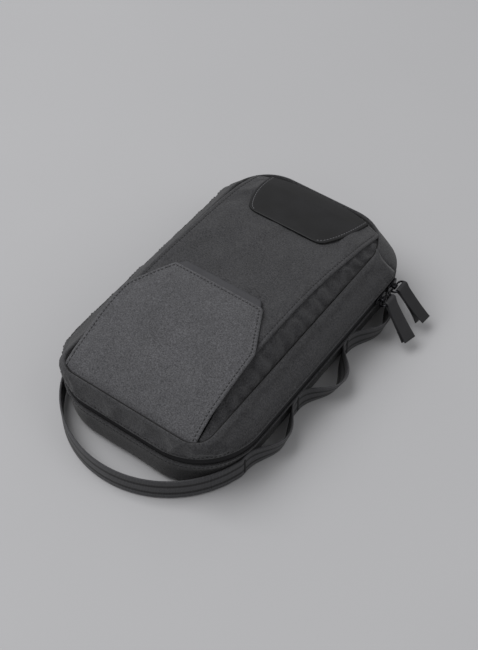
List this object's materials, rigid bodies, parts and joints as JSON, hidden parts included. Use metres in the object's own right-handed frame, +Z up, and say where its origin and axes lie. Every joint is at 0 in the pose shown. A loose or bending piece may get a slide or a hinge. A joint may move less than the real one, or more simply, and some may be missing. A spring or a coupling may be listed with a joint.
{
  "type": "sling bag",
  "caption": "Compact padded sling bag: zip-round clamshell body, raised magnetic-flap front pocket, leather patch, webbing carry handle and side attachment loops.",
  "frame": {"origin": "middle of the back panel's outer face, on the surface the bag lies on", "axes": "+Z up through the front pocket, +Y along the bag from the handle end to the patch end, +X to the side that carries the zip sliders"},
  "size_m": [0.1951, 0.2805, 0.08],
  "materials": {
    "body_fabric": "matte heathered woven polyester",
    "lining": "smooth plain lining",
    "foam": "closed-cell padding foam",
    "binding": "grosgrain binding",
    "zip_tape": "fine woven tape",
    "zip_coil": "satin nylon coil",
    "webbing": "ribbed woven webbing",
    "thread": "matte thread",
    "backing_sheet": "matte sheet",
    "magnet": "satin",
    "black_leather": "smooth satin",
    "strip_fabric": "smooth coated fabric",
    "slider_metal": "gloss"
  },
  "bodies": {
    "back_half": {"back_panel": "body_fabric", "back_padding": "foam", "back_lining": "lining", "lower_side_panel": "body_fabric", "end_panel_lower": "body_fabric", "lower_side_padding": "foam", "lower_side_lining": "lining", "lower_seam_binding": "binding", "lower_facing": "lining", "lower_zip_tape": "zip_tape", "lower_zip_coil": "zip_coil", "side_webbing_right": "webbing", "side_webbing_left": "webbing", "bar_tacks_right": "thread", "bar_tacks_left": "thread"},
    "lid": {"upper_side_panel": "body_fabric", "end_panel_upper": "body_fabric", "upper_side_padding": "foam", "upper_side_lining": "lining", "upper_facing": "lining", "upper_seam_binding": "binding", "upper_zip_tape": "zip_tape", "upper_zip_coil": "zip_coil", "divider_panel": "body_fabric", "divider_padding": "foam", "divider_lining": "lining", "pocket_panel": "body_fabric", "panel_backing": "backing_sheet", "panel_lining": "lining", "panel_magnets": "magnet", "pocket_gusset_right": "body_fabric", "pocket_gusset_left": "body_fabric", "leather_patch": "black_leather"},
    "flap": {"flap_outer": "body_fabric", "flap_stiffener": "backing_sheet", "flap_lining": "lining", "flap_pull_strip": "strip_fabric", "flap_magnets": "magnet"},
    "handle": {"carry_handle": "webbing"},
    "slider_a": {"slider_a": "slider_metal"},
    "slider_b": {"slider_b": "slider_metal"},
    "ring_a": {"ring_a": "slider_metal"},
    "ring_b": {"ring_b": "slider_metal"},
    "tab_a": {"pull_tab_a": "black_leather"},
    "tab_b": {"pull_tab_b": "black_leather"}
  },
  "joints": [
    {"name": "lid_hinge", "type": "hinge", "parent": "back_half", "child": "lid", "pos_m": [0, 0.127, 0.034], "axis": [-1, 0, 0], "range_deg": [0, 115]},
    {"name": "flap_hinge", "type": "hinge", "parent": "lid", "child": "flap", "pos_m": [0, -0.122, 0.059], "axis": [1, 0, 0], "range_deg": [0, 150]},
    {"name": "handle_swing", "type": "hinge", "parent": "back_half", "child": "handle", "pos_m": [0, -0.13, 0.011], "axis": [-1, 0, 0], "range_deg": [0, 45]},
    {"name": "slider_a_slide", "type": "slide", "parent": "back_half", "child": "slider_a", "axis": [0, -1, 0], "range_m": [0, 0.155]},
    {"name": "slider_b_slide", "type": "slide", "parent": "back_half", "child": "slider_b", "axis": [0, -1, 0], "range_m": [0, 0.002]},
    {"name": "ring_a_swing", "type": "hinge", "parent": "slider_a", "child": "ring_a", "pos_m": [0.0851, 0.0785, 0.034], "axis": [0, -1, 0], "range_deg": [0, 50]},
    {"name": "ring_b_swing", "type": "hinge", "parent": "slider_b", "child": "ring_b", "pos_m": [0.0851, 0.0955, 0.034], "axis": [0, -1, 0], "range_deg": [0, 50]},
    {"name": "tab_a_swing", "type": "hinge", "parent": "ring_a", "child": "tab_a", "pos_m": [0.0909, 0.0785, 0.03671], "axis": [0, -1, 0], "range_deg": [0, 60]},
    {"name": "tab_b_swing", "type": "hinge", "parent": "ring_b", "child": "tab_b", "pos_m": [0.0909, 0.0955, 0.03671], "axis": [0, -1, 0], "range_deg": [0, 60]}
  ]
}
